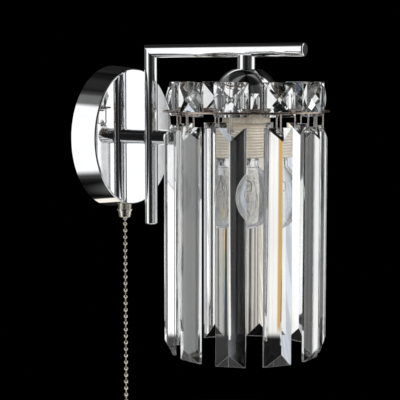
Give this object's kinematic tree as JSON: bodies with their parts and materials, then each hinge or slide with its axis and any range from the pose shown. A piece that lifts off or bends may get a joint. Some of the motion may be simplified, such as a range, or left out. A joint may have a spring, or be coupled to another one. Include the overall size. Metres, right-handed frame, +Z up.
{
  "type": "wall sconce",
  "caption": "Chrome wall sconce with a round canopy, square-angled tube arm, pull chain switch and a hanging ring of square and long crystals round a globe bulb.",
  "frame": {"origin": "on the wall plane, at the middle of the canopy's back", "axes": "+Z up, -Y out of the wall into the room, +X to the right seen from the room"},
  "size_m": [0.1158, 0.1707, 0.3097],
  "materials": {
    "chrome": "polished mirror chrome",
    "steel": "zinc plated steel",
    "nickel_frame": "brownish nickel plated sheet",
    "nickel_wire": "bright nickel plated wire",
    "pale_brass": "pale nickel plated brass",
    "crystal": "clear cut crystal glass, polished",
    "bulb_glass": "clear blown glass",
    "ivory_plastic": "ivory heat resistant plastic",
    "white_plastic": "white moulded plastic",
    "ceramic": "glazed white insulator",
    "black_glass": "black glass insulator",
    "bare_brass": "plain brass",
    "lead_sleeve": "insulated wire",
    "tungsten": "drawn wire"
  },
  "bodies": {
    "fixture": {"wall_bracket": "steel", "earth_screw": "steel", "terminal_block": "white_plastic", "terminal_screws": "steel", "leads": "lead_sleeve", "canopy_shell": "chrome", "centre_rod": "steel", "lock_nuts": "steel", "standoff": "chrome", "front_cap": "chrome", "arm_upright": "chrome", "upright_end_cap": "chrome", "arm_bar": "chrome", "bar_end_cap": "chrome", "drop_stem": "chrome", "stem_nipple": "steel", "holder_cup": "chrome", "frame_hub": "nickel_frame", "frame_spokes": "nickel_frame", "frame_inner_ring": "nickel_frame", "frame_hoop": "nickel_frame", "crystal_links": "nickel_wire", "lampholder_body": "ivory_plastic", "lampholder_ring": "ivory_plastic", "socket_insert": "ceramic", "socket_shell": "bare_brass", "centre_contact": "bare_brass", "switch_body": "white_plastic", "switch_nut": "pale_brass", "switch_outlet": "pale_brass", "square_crystal_01": "crystal", "square_crystal_02": "crystal", "square_crystal_03": "crystal", "square_crystal_04": "crystal", "square_crystal_05": "crystal", "square_crystal_06": "crystal", "square_crystal_07": "crystal", "square_crystal_08": "crystal", "square_crystal_09": "crystal", "square_crystal_10": "crystal"},
    "bulb": {"bulb_glass": "bulb_glass", "bulb_base_shell": "nickel_wire", "bulb_insulator": "black_glass", "bulb_contact": "bare_brass", "bulb_stem": "bulb_glass", "bulb_filament": "tungsten"},
    "switch_plunger": {"switch_plunger": "pale_brass"},
    "chain": {"chain_beads": "pale_brass", "chain_links": "pale_brass", "pull_knob": "pale_brass"},
    "hanging_prism_01": {"prism_01": "crystal"},
    "hanging_prism_02": {"prism_02": "crystal"},
    "hanging_prism_03": {"prism_03": "crystal"},
    "hanging_prism_04": {"prism_04": "crystal"},
    "hanging_prism_05": {"prism_05": "crystal"},
    "hanging_prism_06": {"prism_06": "crystal"},
    "hanging_prism_07": {"prism_07": "crystal"},
    "hanging_prism_08": {"prism_08": "crystal"},
    "hanging_prism_09": {"prism_09": "crystal"},
    "hanging_prism_10": {"prism_10": "crystal"}
  },
  "joints": [
    {"name": "bulb_removal", "type": "slide", "parent": "fixture", "child": "bulb", "axis": [0, 0, -1], "range_m": [0, 0.035]},
    {"name": "switch_pull", "type": "slide", "parent": "fixture", "child": "switch_plunger", "axis": [0, 0, -1], "range_m": [0, 0.007], "stiffness_N_per_m": 900, "springref_m": -0.002},
    {"name": "chain_swing", "type": "hinge", "parent": "switch_plunger", "child": "chain", "pos_m": [0, -0.0098, -0.0621], "axis": [0, 1, 0], "range_deg": [-15, 15]},
    {"name": "prism_01_swing", "type": "hinge", "parent": "fixture", "child": "hanging_prism_01", "pos_m": [0, -0.16513, 0.0072], "axis": [-1, 0, 0], "range_deg": [-5, 15]},
    {"name": "prism_02_swing", "type": "hinge", "parent": "fixture", "child": "hanging_prism_02", "pos_m": [0.03076, -0.15513, 0.0072], "axis": [-0.809, -0.5878, 0], "range_deg": [-5, 15]},
    {"name": "prism_03_swing", "type": "hinge", "parent": "fixture", "child": "hanging_prism_03", "pos_m": [0.04977, -0.12897, 0.0072], "axis": [-0.309, -0.9511, 0], "range_deg": [-5, 15]},
    {"name": "prism_04_swing", "type": "hinge", "parent": "fixture", "child": "hanging_prism_04", "pos_m": [0.04977, -0.09663, 0.0072], "axis": [0.309, -0.9511, 0], "range_deg": [-5, 15]},
    {"name": "prism_05_swing", "type": "hinge", "parent": "fixture", "child": "hanging_prism_05", "pos_m": [0.03076, -0.07047, 0.0072], "axis": [0.809, -0.5878, 0], "range_deg": [-5, 15]},
    {"name": "prism_06_swing", "type": "hinge", "parent": "fixture", "child": "hanging_prism_06", "pos_m": [0, -0.06047, 0.0072], "axis": [1, 0, 0], "range_deg": [-5, 11]},
    {"name": "prism_07_swing", "type": "hinge", "parent": "fixture", "child": "hanging_prism_07", "pos_m": [-0.03076, -0.07047, 0.0072], "axis": [0.809, 0.5878, 0], "range_deg": [-5, 15]},
    {"name": "prism_08_swing", "type": "hinge", "parent": "fixture", "child": "hanging_prism_08", "pos_m": [-0.04977, -0.09663, 0.0072], "axis": [0.309, 0.9511, 0], "range_deg": [-5, 15]},
    {"name": "prism_09_swing", "type": "hinge", "parent": "fixture", "child": "hanging_prism_09", "pos_m": [-0.04977, -0.12897, 0.0072], "axis": [-0.309, 0.9511, 0], "range_deg": [-5, 15]},
    {"name": "prism_10_swing", "type": "hinge", "parent": "fixture", "child": "hanging_prism_10", "pos_m": [-0.03076, -0.15513, 0.0072], "axis": [-0.809, 0.5878, 0], "range_deg": [-5, 15]}
  ]
}
